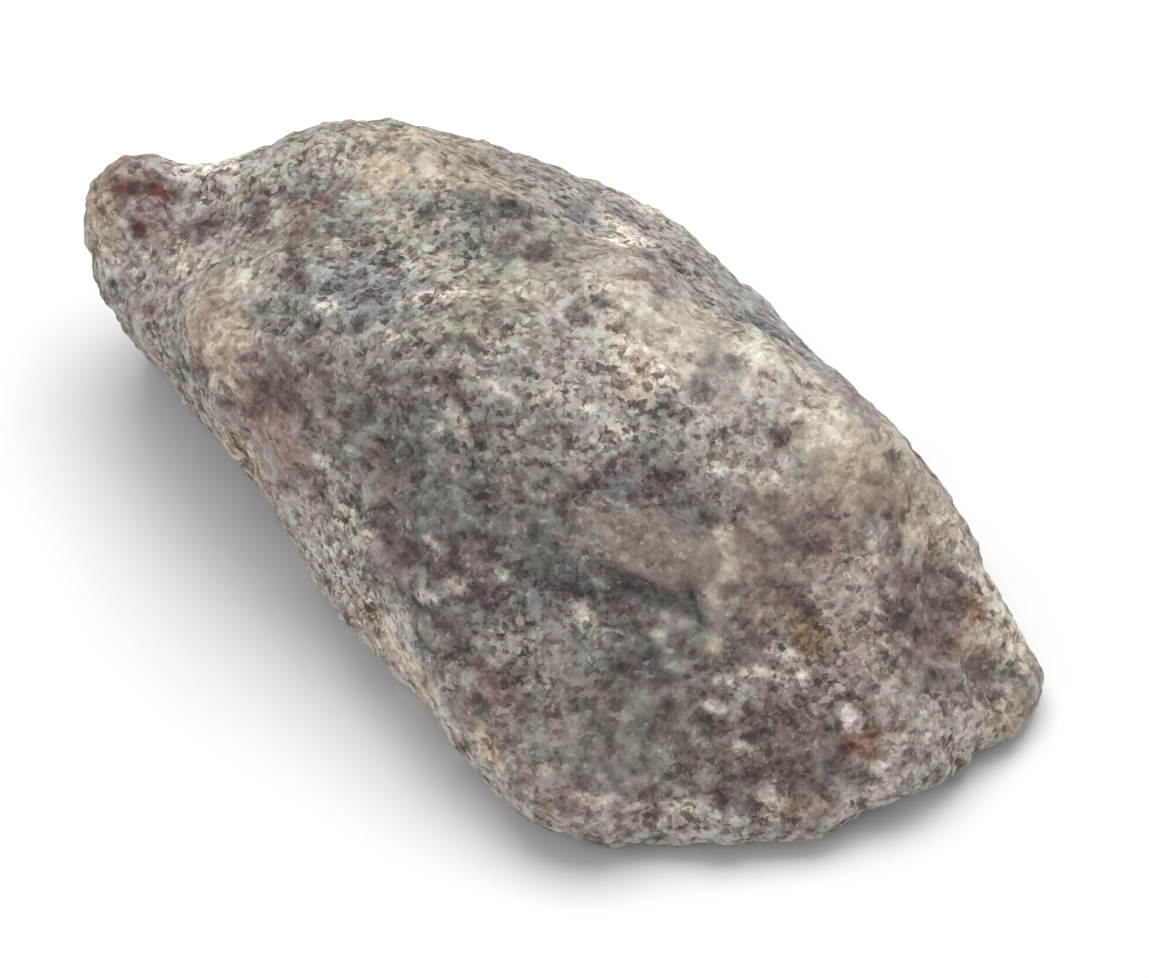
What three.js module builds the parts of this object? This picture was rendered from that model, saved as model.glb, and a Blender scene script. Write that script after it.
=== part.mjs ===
// Rough rock: one broken piece of grey, fine-grained stone, lying on its flat broken underside.
// Millimetres, +Z up, +X along the longer side of its footprint, origin on the ground under its middle.
// The rock is one solid. Its edge is an outline drawn as the rock is seen from the front and above. Broken
// faces cut the block behind that outline, and lumps, hollows, chips and a knob then shape its surface.

import * as THREE from 'three';
import { ImprovedNoise } from 'three/addons/math/ImprovedNoise.js';
import { mergeVertices } from 'three/addons/utils/BufferGeometryUtils.js';

// Driving dimensions: millimetres and degrees.
const VIEW_ELEVATION = 50; // how far above the horizon the outline is seen from
const MIDDLE_HEIGHT = 10; // height of the outline's middle above the ground
const OUTLINE_GROWTH = 0.05; // added round the outline for what wear takes off its edge
const OUTLINE_WEAR = 1.2; // how far the edge between the outline and the broken faces is worn
const GROUND_WEAR = 1.5; // how far the edge round the flat underside is worn
const ROCK_REACH = 45; // no part of the rock is further than this from its middle

const CHIP_SIZE = 6.5; // width of the flat chips that the broken faces split into
const CHIP_LIFT = 0.22; // how far one chip may stand above or below the next
const CHIP_TILT = 0.09; // how far a chip may lean, as a slope
const CHIP_WEAR = 0.35; // how widely the step from one chip to the next is worn
const FACE_SWELLS = [[15, 0.9]]; // width and height of the wide swells that bend the broken faces
const ROUGH_SWELLS = [[5, 0.4], [2.5, 0.22], [1.3, 0.12]]; // and of the small ones all over the surface

const KNOB = { at: [-26.5, 17.2, 14.6], radius: 3.1, wear: 2.2 };

const SPINE_LEFT = [-21, 13.5, 9.5]; // ends of the line inside the rock that its surface is measured out from
const SPINE_RIGHT = [14, -10, 5.5];
const GRID_SPREAD = [12, 16, 13]; // how widely the surface's corners spread along and across the spine
const GRID_ROWS = 20; // rows of triangles across each face of the icosahedron that the surface starts from
const EVEN_ROUNDS = 6; // rounds in which the triangles are evened out
const SLOPE_STEP = 0.3; // step over which the surface's slope is measured
const SLOPE_MOVES = 3; // moves along the slope that bring a corner back to the surface
const MARCH_STEP = 0.5; // step with which the surface is looked for along a ray
const HALVINGS = 20; // times that the step is then halved
const FLAT_SNAP = 0.001; // a corner this close to the ground lies on it
const MERGE_DISTANCE = 1e-6; // corners of the starting grid this close are one corner

const STONE_COLOUR = 0x8d857d;
const STONE_ROUGHNESS = 0.85;

// The rock's edge, clockwise from the knob at the far left: millimetres right of and above its middle.
const OUTLINE = [
  [-29.2, 18.1], [-28.4, 19.2], [-26.7, 20.2], [-25.2, 19.8], [-23.1, 19.4], [-20.2, 20.1],
  [-17.4, 21.4], [-12.2, 22.3], [-9.0, 21.5], [-4.5, 20.9], [-0.2, 19.5], [0.9, 18.7],
  [2.7, 18.1], [6.8, 15.3], [8.7, 13.3], [11.4, 11.0], [12.9, 9.1], [16.8, 5.6],
  [19.5, 2.9], [22.2, -0.5], [25.5, -7.1], [27.2, -9.5], [27.8, -11.5], [26.7, -13.9],
  [24.2, -15.4], [22.5, -17.0], [18.0, -18.5], [16.2, -19.9], [10.5, -21.2], [5.4, -20.9],
  [2.4, -21.5], [-1.2, -20.3], [-3.8, -18.8], [-6.9, -15.1], [-11.1, -10.3], [-12.9, -8.6],
  [-14.4, -6.8], [-18.2, -0.5], [-21.0, 2.9], [-26.1, 8.9], [-28.9, 12.7], [-29.1, 15.8],
];
const OUTLINE_STEPS = 168; // straight steps that its curve is measured by

// Broken faces. Each passes through a point given by its place in the outline's view (right, above) and its
// height over the ground, faces a compass direction (0 right, 90 away, 180 left, 270 towards the viewer) and
// falls away at a slope (0 level, 90 upright, more where it is undercut). Wear is how round its edges are.
const FACES = [
  { name: 'crown', at: [-5.7, 12.5, 23], facing: 110, slope: 5, wear: 1.5 },
  { name: 'left_shoulder', at: [-19.5, 15.5, 19], facing: 165, slope: 22, wear: 2 },
  { name: 'left_facet', at: [-24.0, 14.3, 16.6], facing: 195, slope: 45, wear: 1.5 },
  { name: 'right_shoulder', at: [11.1, 7.1, 21], facing: 325, slope: 16, wear: 1.5 },
  { name: 'front', at: [-4.5, -4.3, 15.4], facing: 245, slope: 50, wear: 2.5 },
  { name: 'front_right', at: [12.3, -7.9, 12], facing: 280, slope: 50, wear: 2.5 },
  { name: 'left_wall', at: [-12.3, -4.3, 12], facing: 220, slope: 80, wear: 1.5 },
  { name: 'front_lip', at: [0.6, -19.7, 4], facing: 265, slope: 85, wear: 1 },
  { name: 'right_face', at: [18.0, -6.0, 12.9], facing: 325, slope: 56, wear: 1.5 },
  { name: 'far_right_slope', at: [11.1, 8.3, 21.6], facing: 50, slope: 43, wear: 1.2 },
  { name: 'back', at: [-10.0, 22.8, 15], facing: 100, slope: 84, wear: 1.5 },
  { name: 'back_left', at: [-27.0, 20.3, 12], facing: 125, slope: 86, wear: 1.5 },
  { name: 'left_end', at: [-30.4, 14.0, 6], facing: 187, slope: 93, wear: 1 },
  { name: 'corner_under_knob', at: [-26.5, 11.8, 4], facing: 150, slope: 108, wear: 2 },
  { name: 'back_underside', at: [0.0, 19.5, 8], facing: 88, slope: 114, wear: 2 },
  { name: 'back_chip', at: [4.5, 18.2, 6], facing: 70, slope: 70, wear: 1.5 },
  { name: 'right_end', at: [28.8, -10.0, 3], facing: 15, slope: 93, wear: 1 },
];

// Lumps that stand above the faces, and hollows with a rise below zero. Each has its place in the outline's
// view, its half lengths along and across, the turn of its length from level there, and its rise.
const LUMPS = [
  { name: 'middle_lump', at: [5.1, -3.7], half: [4.8, 2.3], turn: -18, rise: 0.9 },
  { name: 'hollow_below_lump', at: [1.5, -7.0], half: [4.5, 2.0], turn: -30, rise: -0.35 },
  { name: 'front_hollow', at: [-2.1, -3.0], half: [7.0, 4.0], turn: -40, rise: -0.2 },
  { name: 'ridge_bump_high', at: [11.1, 7.7], half: [2.4, 1.7], turn: -40, rise: 0.8 },
  { name: 'ridge_bump_low', at: [15.0, 3.5], half: [2.6, 1.6], turn: -50, rise: 0.9 },
  { name: 'ridge_swell', at: [4.2, 11.3], half: [3.5, 2.2], turn: -55, rise: 0.6 },
  { name: 'front_plate', at: [-6.6, -5.8], half: [2.4, 1.5], turn: -45, rise: 0.6 },
  { name: 'left_dent', at: [-17.7, 6.2], half: [2.4, 1.5], turn: -40, rise: -0.9 },
  { name: 'hollow_by_knob', at: [-23.2, 17.2], half: [1.7, 2.0], turn: 0, rise: -0.6 },
  { name: 'left_swell', at: [-21.0, 9.5], half: [3.0, 2.0], turn: -45, rise: 0.5 },
  { name: 'low_front_lump', at: [9.9, -15.0], half: [2.2, 1.8], turn: 0, rise: 0.7 },
  { name: 'low_right_lump', at: [15.3, -14.4], half: [2.4, 2.0], turn: 30, rise: 0.8 },
  { name: 'lip_lump', at: [1.2, -18.9], half: [2.6, 1.4], turn: -10, rise: 0.7 },
  { name: 'right_face_hollow', at: [21.3, -7.0], half: [3.0, 2.5], turn: -60, rise: -0.6 },
  { name: 'tip_hollow', at: [24.3, -10.9], half: [1.8, 1.6], turn: 0, rise: -0.5 },
];
const LUMP_DEPTH = 6; // how far a lump reaches along the line of sight

const radians = THREE.MathUtils.degToRad;
const viewSin = Math.sin(radians(VIEW_ELEVATION));
const viewCos = Math.cos(radians(VIEW_ELEVATION));

// A point of the rock, from its place in the outline's view and its distance towards the viewer.
function viewed(right, above, towards) {
  const x = right;
  const y = above * viewSin - towards * viewCos;
  const z = above * viewCos + towards * viewSin + MIDDLE_HEIGHT;
  return new THREE.Vector3(x, y, z);
}

// A point of the rock, from its place in the outline's view and its height over the ground.
function placed([right, above, height]) {
  return viewed(right, above, (height - MIDDLE_HEIGHT - above * viewCos) / viewSin);
}

// Where a point of the rock is in the outline's view: right, above and towards the viewer.
function seen(point) {
  const height = point.z - MIDDLE_HEIGHT;
  return new THREE.Vector3(
    point.x, point.y * viewSin + height * viewCos, height * viewSin - point.y * viewCos);
}

const edgeCurve = new THREE.CatmullRomCurve3(
  OUTLINE.map(([right, above]) => new THREE.Vector3(right, above, 0)), true, 'centripetal');
const edgePoints = edgeCurve.getPoints(OUTLINE_STEPS).slice(0, OUTLINE_STEPS);

// Distance from a seen point to the outline, negative inside it.
function outlineDistance(spot) {
  let nearest = Infinity;
  let inside = false;
  for (let i = 0; i < OUTLINE_STEPS; i++) {
    const a = edgePoints[i];
    const b = edgePoints[(i + 1) % OUTLINE_STEPS];
    const dx = b.x - a.x;
    const dy = b.y - a.y;
    const along = ((spot.x - a.x) * dx + (spot.y - a.y) * dy) / (dx * dx + dy * dy);
    const t = THREE.MathUtils.clamp(along, 0, 1);
    nearest = Math.min(nearest, Math.hypot(spot.x - a.x - t * dx, spot.y - a.y - t * dy));
    const crosses = (a.y > spot.y) !== (b.y > spot.y);
    if (crosses && spot.x < a.x + (spot.y - a.y) / dy * dx) {
      inside = !inside;
    }
  }
  return inside ? -nearest : nearest;
}

// The larger of two distances, with the corner between them worn round over the given width.
function wornMax(a, b, width) {
  const share = Math.max(width - Math.abs(a - b), 0) / width;
  return Math.max(a, b) + share * share * width / 4;
}

const facePlanes = FACES.map(({ at, facing, slope, wear }) => {
  const normal = new THREE.Vector3().setFromSphericalCoords(1, radians(slope), radians(facing));
  normal.set(normal.z, normal.x, normal.y);
  return { plane: new THREE.Plane().setFromNormalAndCoplanarPoint(normal, placed(at)), wear };
});

const noise = new ImprovedNoise();

// How far swells of the given widths and heights lift the surface at a point.
function swellRise(point, swells) {
  let total = 0;
  for (const [width, height] of swells) {
    total += height * noise.noise(point.x / width, point.y / width, point.z / width + height);
  }
  return total;
}

// A number between -1 and 1 that depends only on a cell of a cubic grid and a channel. It is the far digits
// of a large sine, which follow no pattern.
function cellValue(i, j, k, channel) {
  const mixed = Math.sin(i * 127.1 + j * 311.7 + k * 74.7 + channel * 53.3) * 43758.5453;
  return 2 * (mixed - Math.floor(mixed)) - 1;
}

// How far the chip at a point lifts the surface: each chip is flat, and lies and leans in its own way.
function chipRise(point) {
  const [ci, cj, ck] = point.toArray().map((value) => Math.floor(value / CHIP_SIZE));
  let weights = 0;
  let rises = 0;
  for (let i = ci - 1; i <= ci + 1; i++) {
    for (let j = cj - 1; j <= cj + 1; j++) {
      for (let k = ck - 1; k <= ck + 1; k++) {
        const own = (channel) => cellValue(i, j, k, channel);
        const heart = new THREE.Vector3(i + 0.5 + own(0) / 2, j + 0.5 + own(1) / 2, k + 0.5 + own(2) / 2);
        const away = point.clone().addScaledVector(heart, -CHIP_SIZE);
        const weight = Math.exp(-away.length() / CHIP_WEAR);
        const lean = new THREE.Vector3(own(4), own(5), own(6));
        weights += weight;
        rises += weight * (CHIP_LIFT * own(3) + CHIP_TILT * away.dot(lean));
      }
    }
  }
  return rises / weights;
}

// Signed distance to the block that the broken faces cut out behind the outline, negative inside.
function blockDistance(point) {
  let cut = -Infinity;
  for (const { plane, wear } of facePlanes) {
    cut = wornMax(cut, plane.distanceToPoint(point), wear);
  }
  cut -= swellRise(point, FACE_SWELLS) + chipRise(point);
  return wornMax(cut, outlineDistance(seen(point)) - OUTLINE_GROWTH, OUTLINE_WEAR);
}

// How far towards the viewer the block's surface is at a place in the outline's view.
function surfaceTowards(right, above) {
  let towards = ROCK_REACH;
  while (towards > -ROCK_REACH && blockDistance(viewed(right, above, towards)) > 0) {
    towards -= MARCH_STEP;
  }
  return towards;
}

const lumps = LUMPS.map(({ at: [right, above], half, turn, rise }) => ({
  centre: new THREE.Vector3(right, above, surfaceTowards(right, above)), half, turn: radians(turn), rise,
}));

// How far the lumps and hollows lift the surface at a point.
function lumpRise(point) {
  const spot = seen(point);
  let total = 0;
  for (const { centre, half, turn, rise } of lumps) {
    const away = spot.clone().sub(centre);
    const along = (away.x * Math.cos(turn) + away.y * Math.sin(turn)) / half[0];
    const across = (away.y * Math.cos(turn) - away.x * Math.sin(turn)) / half[1];
    const deep = away.z / LUMP_DEPTH;
    total += rise * Math.exp(-((along * along + across * across) ** 2) - deep * deep);
  }
  return total;
}

const knobCentre = placed(KNOB.at);

// Signed distance to the rock's surface, negative inside. The ground cuts it flat.
function rockDistance(point) {
  const knob = point.distanceTo(knobCentre) - KNOB.radius;
  const body = -wornMax(-blockDistance(point), -knob, KNOB.wear);
  const rough = body - lumpRise(point) - swellRise(point, ROUGH_SWELLS);
  return wornMax(rough, -point.z, GROUND_WEAR);
}

// The rock's outermost surface point on a ray.
function surfacePoint(ray) {
  const probe = new THREE.Vector3();
  const isOutside = (reach) => rockDistance(ray.at(reach, probe)) > 0;
  let outer = ROCK_REACH;
  while (outer > MARCH_STEP && isOutside(outer - MARCH_STEP)) {
    outer -= MARCH_STEP;
  }
  let inner = outer - MARCH_STEP;
  for (let i = 0; i < HALVINGS; i++) {
    const reach = (inner + outer) / 2;
    [inner, outer] = isOutside(reach) ? [inner, reach] : [reach, outer];
  }
  return ray.at(inner, probe);
}

const AXES = [new THREE.Vector3(1, 0, 0), new THREE.Vector3(0, 1, 0), new THREE.Vector3(0, 0, 1)];

// Moves a point that is close to the surface onto it, straight along the surface's slope.
function moveOntoSurface(point) {
  const probe = new THREE.Vector3();
  const distanceAt = (axis, step) => rockDistance(probe.copy(point).addScaledVector(axis, step));
  for (let i = 0; i < SLOPE_MOVES; i++) {
    const slope = AXES.map((axis) => distanceAt(axis, SLOPE_STEP) - distanceAt(axis, -SLOPE_STEP));
    point.addScaledVector(probe.fromArray(slope).normalize(), -rockDistance(point));
  }
}

// The corners that each corner of a closed mesh shares an edge with.
function neighbourLists(geometry, count) {
  const lists = Array.from({ length: count }, () => []);
  const index = geometry.getIndex();
  for (let i = 0; i < index.count; i += 3) {
    for (let j = 0; j < 3; j++) {
      lists[index.getX(i + j)].push(index.getX(i + (j + 1) % 3));
    }
  }
  return lists;
}

// The rock's surface: the corners of an icosahedron's fine grid, moved out from the spine to the surface and
// then evened out along it.
function rockGeometry() {
  const grid = new THREE.IcosahedronGeometry(1, GRID_ROWS - 1);
  grid.deleteAttribute('normal');
  grid.deleteAttribute('uv');
  const geometry = mergeVertices(grid, MERGE_DISTANCE);
  const positions = geometry.getAttribute('position');
  const spine = new THREE.Line3(new THREE.Vector3(...SPINE_LEFT), new THREE.Vector3(...SPINE_RIGHT));
  const along = spine.delta(new THREE.Vector3()).normalize();
  const spineTurn = new THREE.Quaternion().setFromUnitVectors(AXES[0], along);
  const spread = new THREE.Vector3(...GRID_SPREAD);
  let corners = Array.from({ length: positions.count }, (_, i) => {
    const corner = new THREE.Vector3().fromBufferAttribute(positions, i);
    const start = spine.at((1 + corner.x) / 2, new THREE.Vector3());
    const outwards = corner.multiply(spread).normalize().applyQuaternion(spineTurn);
    return surfacePoint(new THREE.Ray(start, outwards));
  });
  const neighbours = neighbourLists(geometry, corners.length);
  for (let round = 0; round < EVEN_ROUNDS; round++) {
    corners = neighbours.map((list) => {
      const middle = new THREE.Vector3();
      for (const i of list) {
        middle.addScaledVector(corners[i], 1 / list.length);
      }
      moveOntoSurface(middle);
      return middle;
    });
  }
  corners.forEach(({ x, y, z }, i) => positions.setXYZ(i, x, y, z < FLAT_SNAP ? 0 : z));
  geometry.computeBoundingBox();
  const centre = geometry.boundingBox.getCenter(new THREE.Vector3());
  return geometry.translate(-centre.x, -centre.y, 0);
}

const stone = new THREE.MeshStandardMaterial({
  color: STONE_COLOUR, roughness: STONE_ROUGHNESS, metalness: 0, flatShading: true,
});
const rock = new THREE.Mesh(rockGeometry(), stone);
rock.name = 'rock';

const part = new THREE.Group();
part.add(rock);

export default part;
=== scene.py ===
"""Looks of the rough rock: a broken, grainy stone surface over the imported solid, on a plain pale floor."""

import math

import bmesh
import bpy
from bpy.props import FloatProperty, FloatVectorProperty, IntProperty, PointerProperty
from mathutils import Color, Matrix, Vector


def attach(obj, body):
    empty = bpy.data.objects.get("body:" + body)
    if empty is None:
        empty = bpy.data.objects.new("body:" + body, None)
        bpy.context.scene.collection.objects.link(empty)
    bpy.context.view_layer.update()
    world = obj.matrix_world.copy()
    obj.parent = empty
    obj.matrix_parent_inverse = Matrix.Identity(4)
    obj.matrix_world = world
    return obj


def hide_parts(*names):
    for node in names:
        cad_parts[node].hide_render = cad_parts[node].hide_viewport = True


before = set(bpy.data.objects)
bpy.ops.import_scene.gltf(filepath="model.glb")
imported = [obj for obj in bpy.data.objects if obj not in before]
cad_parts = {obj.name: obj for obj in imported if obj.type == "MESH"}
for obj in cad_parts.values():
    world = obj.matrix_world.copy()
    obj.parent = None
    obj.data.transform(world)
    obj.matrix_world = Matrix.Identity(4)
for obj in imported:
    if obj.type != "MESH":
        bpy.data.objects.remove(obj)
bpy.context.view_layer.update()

bl_info = {
    "name": "Rough Rock",
    "version": (1, 0, 0),
    "blender": (4, 5, 0),
    "location": "3D View > Sidebar > Rough Rock",
    "description": "Makes the surface of a rough grey rock and the studio it lies in",
    "category": "Object",
}

ROCK_NODE = "rock"
ROCK_PIECE = "rock_surface"

# The photograph that places are read from: its size, its scale and where the rock's outline is in it.
IMAGE_WIDTH = 1149
IMAGE_HEIGHT = 978
PIXEL = 0.00006
OUTLINE_MIDDLE = (562.5, 482.5)
VIEW_ELEVATION = math.radians(50)

MERGE_DISTANCE = 1e-6
SCREEN_LEVELS = 255
NOISE_MIDDLE = 0.5  # about the mean of a noise, and of a cell's distances and random values
SHAKE_SHIFT = 0.4

# The sockets of a Mix node that carry colours
MIX_FIRST_COLOUR = 6
MIX_SECOND_COLOUR = 7
MIXED_COLOUR = 2

RED_CHANNEL = (1, 0, 0)
GREEN_CHANNEL = (0, 1, 0)
WHITE = (1, 1, 1)
FLOOR_CORNER = (-1, -1, 0)  # no point of the rock goes below it, in any axis
MATT_ROUGHNESS = 0.9
FAR_CLIP = 10  # how far the camera sees, in camera distances


# Node trees written as expressions

class Field:
    """A value that varies over the surface: an output socket whose operators add Math nodes to its tree."""

    def __init__(self, tree, socket):
        self.tree = tree
        self.socket = socket

    def other(self, name):
        """Another output of the same node."""
        return Field(self.tree, self.socket.node.outputs[name])

    def math(self, operation, first, second):
        return self.tree.add("ShaderNodeMath", {"operation": operation}, {0: first, 1: second})

    def __add__(self, value):
        return self.math("ADD", self, value)

    def __sub__(self, value):
        return self.math("SUBTRACT", self, value)

    def __rsub__(self, value):
        return self.math("SUBTRACT", value, self)

    def __mul__(self, value):
        return self.math("MULTIPLY", self, value)

    def __rtruediv__(self, value):
        return self.math("DIVIDE", value, self)

    __radd__ = __add__

    def exp(self):
        """The exponential of the value."""
        return self.tree.add("ShaderNodeMath", {"operation": "EXPONENT"}, {0: self})


class Tree:
    """A node tree and the few ways in which this file adds nodes to it."""

    def __init__(self, node_tree):
        self.node_tree = node_tree

    def add(self, kind, settings=None, sockets=None, output=0):
        """Adds a node: settings first, then its sockets' values or links. Gives one of its outputs."""
        node = self.node_tree.nodes.new(kind)
        for name, value in (settings or {}).items():
            setattr(node, name, value)
        for name, value in (sockets or {}).items():
            if isinstance(value, Field):
                self.node_tree.links.new(value.socket, node.inputs[name])
            else:
                node.inputs[name].default_value = value
        return Field(self, node.outputs[output]) if node.outputs else node

    def vector(self, operation, first, second):
        """Vector maths on two vectors."""
        return self.add("ShaderNodeVectorMath", {"operation": operation}, {0: first, 1: second})

    def scaled(self, vector, factor):
        """A vector times a number."""
        return self.add("ShaderNodeVectorMath", {"operation": "SCALE"}, {0: vector, "Scale": factor})

    def dot(self, first, second):
        """The dot product of two vectors."""
        return self.add("ShaderNodeVectorMath", {"operation": "DOT_PRODUCT"}, {0: first, 1: second}, "Value")

    def length(self, vector):
        """The length of a vector."""
        return self.add("ShaderNodeVectorMath", {"operation": "LENGTH"}, {0: vector}, "Value")

    def step(self, value, start, end):
        """A smooth step: 0 where the value is at start or beyond, 1 where it is at end or beyond."""
        return self.add("ShaderNodeMapRange", {"interpolation_type": "SMOOTHSTEP"},
                        {"Value": value, "From Min": start, "From Max": end})

    def mix(self, factor, first, second):
        """A mix of two colours."""
        sockets = {0: factor, MIX_FIRST_COLOUR: first, MIX_SECOND_COLOUR: second}
        return self.add("ShaderNodeMix", {"data_type": "RGBA"}, sockets, MIXED_COLOUR)

    def noise(self, vector, width, detail=2.0, roughness=0.5, shift=0.0):
        """Cloudy noise around one half, with clouds of the given width. A shift gives other clouds."""
        moved = self.vector("ADD", vector, (shift, shift, shift)) if shift else vector
        return self.add("ShaderNodeTexNoise", {}, {
            "Vector": moved, "Scale": 1 / width, "Detail": detail, "Roughness": roughness})

    def clouds(self, vector, **kind):
        """The same noise around zero."""
        return self.noise(vector, **kind) - NOISE_MIDDLE

    def stored(self, name):
        """A value that is stored on the mesh, as a colour."""
        return self.add("ShaderNodeAttribute", {"attribute_name": name}, {}, "Color")

    def cells(self, vector, width):
        """Irregular cells of a width: the distance from a cell's middle, and a Color for each cell."""
        return self.add("ShaderNodeTexVoronoi", {}, {"Vector": vector, "Scale": 1 / width})

    def shaken(self, vector, width, reach):
        """Places moved about at random, by clouds of the given width."""
        clouds = self.noise(vector, width, shift=SHAKE_SHIFT).other("Color")
        ways = self.vector("SUBTRACT", clouds, [NOISE_MIDDLE] * 3)
        return self.vector("ADD", vector, self.scaled(ways, reach))


# Where the photograph's pixels are on the rock

class PhotoView:
    """The view that the photograph was taken in, set so that the rock's outline lies where it is there."""

    def __init__(self, rock_corners, distance):
        self.right = Vector((1, 0, 0))
        self.up = Vector((0, math.sin(VIEW_ELEVATION), math.cos(VIEW_ELEVATION)))
        self.towards = Vector((0, -math.cos(VIEW_ELEVATION), math.sin(VIEW_ELEVATION)))
        middle = [self.middle_along(rock_corners, axis) for axis in (self.right, self.up, self.towards)]
        across = middle[0] + (IMAGE_WIDTH / 2 - OUTLINE_MIDDLE[0]) * PIXEL
        above = middle[1] - (IMAGE_HEIGHT / 2 - OUTLINE_MIDDLE[1]) * PIXEL
        self.aim = self.right * across + self.up * above + self.towards * middle[2]
        self.place = self.aim + self.towards * distance

    @staticmethod
    def middle_along(points, axis):
        """Halfway between the points' ends along an axis."""
        along = [point.dot(axis) for point in points]
        return (min(along) + max(along)) / 2

    def spot(self, rock, pixel):
        """The point of the rock that a pixel of the photograph shows."""
        across = (pixel[0] - IMAGE_WIDTH / 2) * PIXEL
        above = (IMAGE_HEIGHT / 2 - pixel[1]) * PIXEL
        aimed = self.aim + self.right * across + self.up * above
        hit, point, _, _ = rock.ray_cast(self.place, (aimed - self.place).normalized())
        if not hit:
            raise RuntimeError(f"the photograph's pixel {pixel} isn't on the rock")
        return point

    def patch(self, rock, pixel, half, turn):
        """Where a patch of the rock lies, from its middle, half sizes and turn in pixels and degrees. Its x
        axis lies in the picture, and its z axis faces the viewer."""
        axes = Matrix((self.right, self.up, self.towards)).transposed()
        rotation = (axes @ Matrix.Rotation(math.radians(turn), 3, "Z")).to_euler()
        depth = PATCH_DEPTH * (half[0] + half[1]) / 2
        return {"Middle": self.spot(rock, pixel), "Rotation": rotation,
                "Half Sizes": [PIXEL * reach for reach in (*half, depth)]}


# Settings

def linear(*levels):
    """A colour's linear values, from its screen levels between 0 and 255."""
    return tuple(Color([level / SCREEN_LEVELS for level in levels]).from_srgb_to_scene_linear())


def stone_colour(name, *levels):
    """A setting for one of the stone's colours."""
    return FloatVectorProperty(
        name=name, description=f"Colour of the {name.lower()} parts of the stone", default=linear(*levels),
        subtype="COLOR", min=0, max=1)


class RockColourSettings(bpy.types.PropertyGroup):
    """Colours of the stone's minerals and stains, and of the painted shade and light among them."""

    stone_grey: stone_colour("Stone Grey", 148, 140, 132)
    khaki: stone_colour("Khaki", 147, 141, 127)
    cream: stone_colour("Cream", 208, 198, 182)
    tan: stone_colour("Tan", 190, 171, 150)
    pink_beige: stone_colour("Pink Beige", 180, 166, 156)
    pale_grey: stone_colour("Pale Grey", 178, 171, 161)
    back_grey: stone_colour("Back Grey", 150, 147, 143)
    mid_grey: stone_colour("Mid Grey", 130, 125, 119)
    dark_grey: stone_colour("Dark Grey", 107, 103, 98)
    charcoal: stone_colour("Charcoal", 86, 82, 80)
    slate: stone_colour("Slate", 106, 104, 106)
    purple_grey: stone_colour("Purple Grey", 118, 110, 105)
    plum: stone_colour("Plum", 94, 78, 78)
    brown: stone_colour("Brown", 131, 114, 103)
    dark_brown: stone_colour("Dark Brown", 106, 92, 84)
    lump_brown: stone_colour("Lump Brown", 131, 119, 108)
    ochre: stone_colour("Ochre", 128, 103, 80)
    rust: stone_colour("Rust", 138, 105, 93)
    dark_rust: stone_colour("Dark Rust", 104, 72, 66)
    red: stone_colour("Red", 120, 58, 50)
    white: stone_colour("White", 224, 215, 204)
    garnet: stone_colour("Garnet", 84, 34, 30)
    # the speck colour is also the painted shade in the cracks
    speck: stone_colour("Speck", 70, 66, 64)


class RockSurfaceSettings(bpy.types.PropertyGroup):
    """Sizes of the rough surface."""

    smoothing: IntProperty(
        name="Smoothing", description="Times that each triangle of the solid is divided", default=2, min=0,
        max=2)
    scoop_width: FloatProperty(
        name="Scoop Width", description="Width of the widest scoops in the broken surface", default=0.003,
        unit="LENGTH")
    scoop_depth: FloatProperty(
        name="Scoop Depth", description="Depth of such a scoop below its ridges", default=0.0005,
        unit="LENGTH")
    form_height: FloatProperty(
        name="Form Height", description="How far the highest lump stands out", default=0.0006, unit="LENGTH")
    blotch_height: FloatProperty(
        name="Blotch Height", description="How far clusters of grains stand out", default=0.00045,
        unit="LENGTH")
    grain_height: FloatProperty(
        name="Grain Height", description="How far a grain stands above the next", default=0.00025,
        unit="LENGTH")
    crack_width: FloatProperty(
        name="Crack Width", description="Half width of the cracks", default=0.0004, unit="LENGTH")
    crack_depth: FloatProperty(
        name="Crack Depth", description="Depth of the cracks", default=0.00045, unit="LENGTH")


class StageSettings(bpy.types.PropertyGroup):
    """The floor, the lights and the camera."""

    floor_colour: FloatVectorProperty(
        name="Floor Colour", description="Colour of the floor", default=(0.9, 0.9, 0.9), subtype="COLOR")
    floor_size: FloatProperty(
        name="Floor Size", description="Length of the floor's side", default=6.0, unit="LENGTH")
    sky_strength: FloatProperty(
        name="Sky Strength", description="Brightness of the light from all round", default=0.55)
    key_power: FloatProperty(
        name="Key Power", description="Power of the large lamp above", default=3.9, unit="POWER")
    key_place: FloatVectorProperty(
        name="Key Place", description="Where the large lamp hangs", default=(0.03, 0.18, 0.68),
        unit="LENGTH")
    key_size: FloatProperty(
        name="Key Size", description="Side of the large lamp", default=0.6, unit="LENGTH")
    fill_power: FloatProperty(
        name="Fill Power", description="Power of the lamp at the left", default=0.6, unit="POWER")
    fill_place: FloatVectorProperty(
        name="Fill Place", description="Where the lamp at the left is", default=(-0.6, -0.35, 0.3),
        unit="LENGTH")
    fill_size: FloatProperty(
        name="Fill Size", description="Side of the lamp at the left", default=0.5, unit="LENGTH")
    camera_distance: FloatProperty(
        name="Camera Distance", description="From the camera to the rock", default=2.0, unit="LENGTH")
    sensor_width: FloatProperty(
        name="Sensor Width", description="Width of the camera's sensor, in millimetres", default=36.0)


# Marks read from the photograph

CRACKS = [
    ("crown crack", [(458, 196), (486, 199), (512, 205), (540, 211)]),
    ("gash below the lump", [(690, 588), (697, 606), (702, 622)]),
    ("step below the plate", [(455, 565), (470, 586), (490, 612)]),
]

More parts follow.
